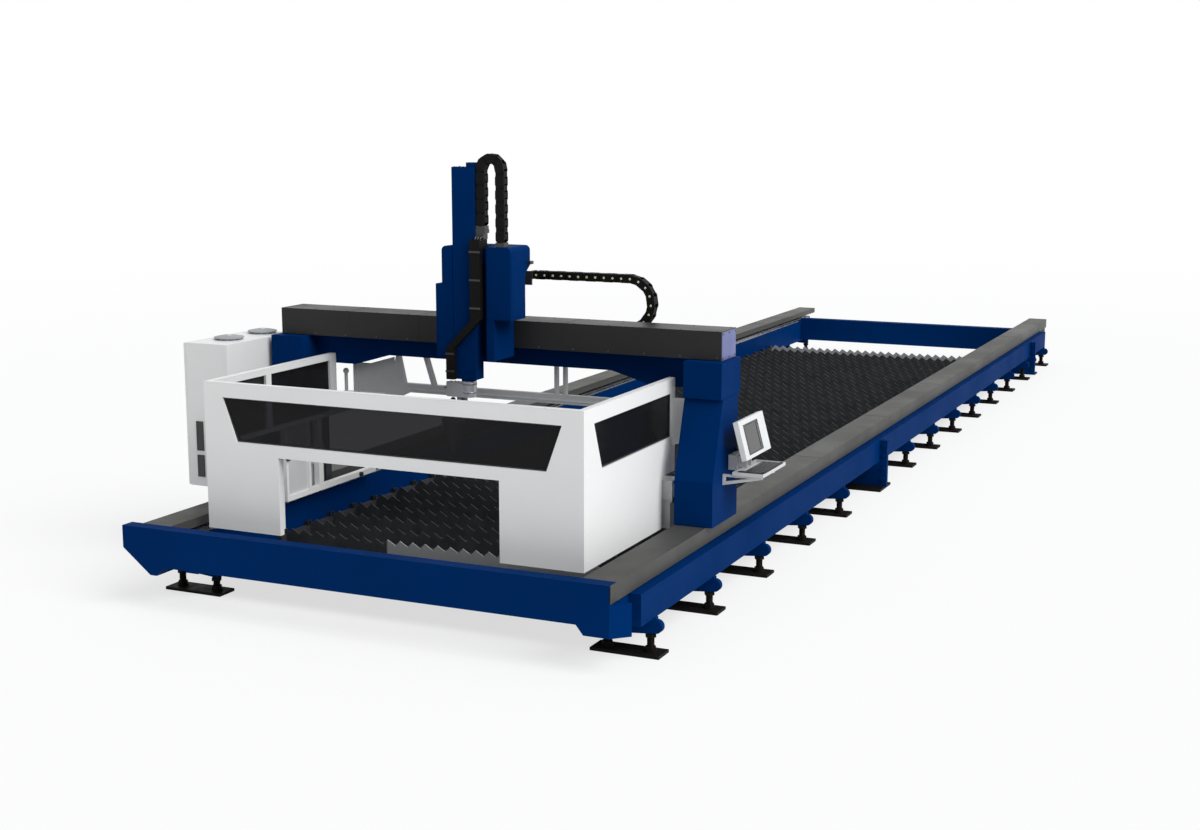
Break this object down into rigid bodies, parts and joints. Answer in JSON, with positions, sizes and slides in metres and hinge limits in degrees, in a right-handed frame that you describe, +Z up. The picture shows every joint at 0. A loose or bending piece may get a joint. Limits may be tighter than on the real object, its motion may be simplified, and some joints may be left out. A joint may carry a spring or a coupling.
{
  "type": "gantry laser cutting machine",
  "caption": "Long-bed gantry laser cutting machine for steel beams: slatted bed between rails, travelling portal, cross carriage, vertical ram and swivel-and-tilt cutting head.",
  "frame": {"origin": "centre of the whole footprint on the floor", "axes": "+Y along the bed, away from the operator end; +X towards the operator console; +Z up"},
  "size_m": [4.237, 14.22, 2.9707],
  "materials": {
    "blue_paint": "satin powder coat",
    "cover_paint": "textured dark powder coat",
    "end_cap_paint": "satin pale blue-grey paint",
    "panel_paint": "smooth white powder coat",
    "grey_paint": "light grey paint",
    "bed_steel": "dark mill steel",
    "ground_steel": "ground steel",
    "block_steel": "blackened steel",
    "foot_metal": "dark oxide",
    "stop_rubber": "matte rubber",
    "tinted_pane": "smoked safety pane",
    "chain_plastic": "glass-filled polyamide",
    "knob_plastic": "black moulded knob",
    "key_plastic": "dark keyboard plastic",
    "screen_plastic": "light grey housing",
    "cabinet_plate": "galvanised plate",
    "head_metal": "machined and anodised",
    "nozzle_copper": "bare copper alloy"
  },
  "bodies": {
    "base": {"front_beam": "blue_paint", "rear_beam": "blue_paint", "left_rail": "blue_paint", "right_rail": "blue_paint", "left_rail_cover": "cover_paint", "right_rail_cover": "cover_paint", "joint_bolts": "ground_steel", "end_stops": "stop_rubber", "y_guides": "ground_steel", "foot_lugs": "blue_paint", "foot_studs": "foot_metal", "foot_plates": "foot_metal", "bed_bearers": "blue_paint", "chip_tray": "bed_steel", "bed_slats": "bed_steel"},
    "gantry": {"left_leg": "blue_paint", "right_leg": "blue_paint", "crossbeam": "blue_paint", "beam_end_caps": "end_cap_paint", "beam_cover": "cover_paint", "x_guides": "ground_steel", "y_guide_blocks": "block_steel", "y_drive_housings": "grey_paint", "front_panel": "panel_paint", "front_window": "tinted_pane", "right_panel": "panel_paint", "right_window": "tinted_pane", "left_frame": "panel_paint", "left_windows": "tinted_pane", "left_infill": "grey_paint", "frame_knobs": "knob_plastic", "rear_header": "grey_paint", "wing_plates": "panel_paint", "cabinet_shell": "panel_paint", "cabinet_fittings": "cabinet_plate", "cabinet_brackets": "blue_paint", "cabinet_louvres": "cover_paint", "roof_hoods": "grey_paint", "console_bracket": "grey_paint", "keyboard_tray": "grey_paint", "keyboard": "key_plastic", "chain_trough": "cover_paint", "x_chain": "chain_plastic"},
    "carriage": {"carriage_housing": "blue_paint", "carriage_saddle": "blue_paint", "x_guide_blocks": "block_steel", "x_drive_box": "cover_paint", "chain_arm": "cover_paint", "z_guide_blocks": "block_steel", "z_chain": "chain_plastic"},
    "ram": {"ram": "blue_paint", "z_guide_rails": "ground_steel", "chain_gland": "chain_plastic", "cable_duct": "chain_plastic"},
    "swivel": {"c_axis": "head_metal", "tilt_arm": "head_metal"},
    "head": {"cutting_head": "head_metal", "nozzle": "nozzle_copper"},
    "door": {"cabinet_door": "panel_paint"},
    "screen": {"monitor": "screen_plastic"}
  },
  "joints": [
    {"name": "gantry_travel", "type": "slide", "parent": "base", "child": "gantry", "axis": [0, 1, 0], "range_m": [-0.24, 10.5]},
    {"name": "carriage_travel", "type": "slide", "parent": "gantry", "child": "carriage", "axis": [1, 0, 0], "range_m": [-0.9, 0.93], "deforming": ["x_chain"]},
    {"name": "ram_travel", "type": "slide", "parent": "carriage", "child": "ram", "axis": [0, 0, 1], "range_m": [-0.55, 0.1], "deforming": ["z_chain"]},
    {"name": "head_swivel", "type": "hinge", "parent": "ram", "child": "swivel", "pos_m": [0.0455, -5.6075, 1.36], "axis": [0, 0, 1], "range_deg": [-180, 180]},
    {"name": "head_tilt", "type": "hinge", "parent": "swivel", "child": "head", "pos_m": [-0.0835, -5.6075, 1.222], "axis": [1, 0, 0], "range_deg": [-90, 90]},
    {"name": "cabinet_door", "type": "hinge", "parent": "gantry", "child": "door", "pos_m": [-2.1095, -5.12, 1.086], "axis": [0, 0, -1], "range_deg": [0, 110]},
    {"name": "monitor_tilt", "type": "hinge", "parent": "gantry", "child": "screen", "pos_m": [1.9435, -5.185, 1.008], "axis": [0, 1, 0], "range_deg": [-10, 15]}
  ]
}
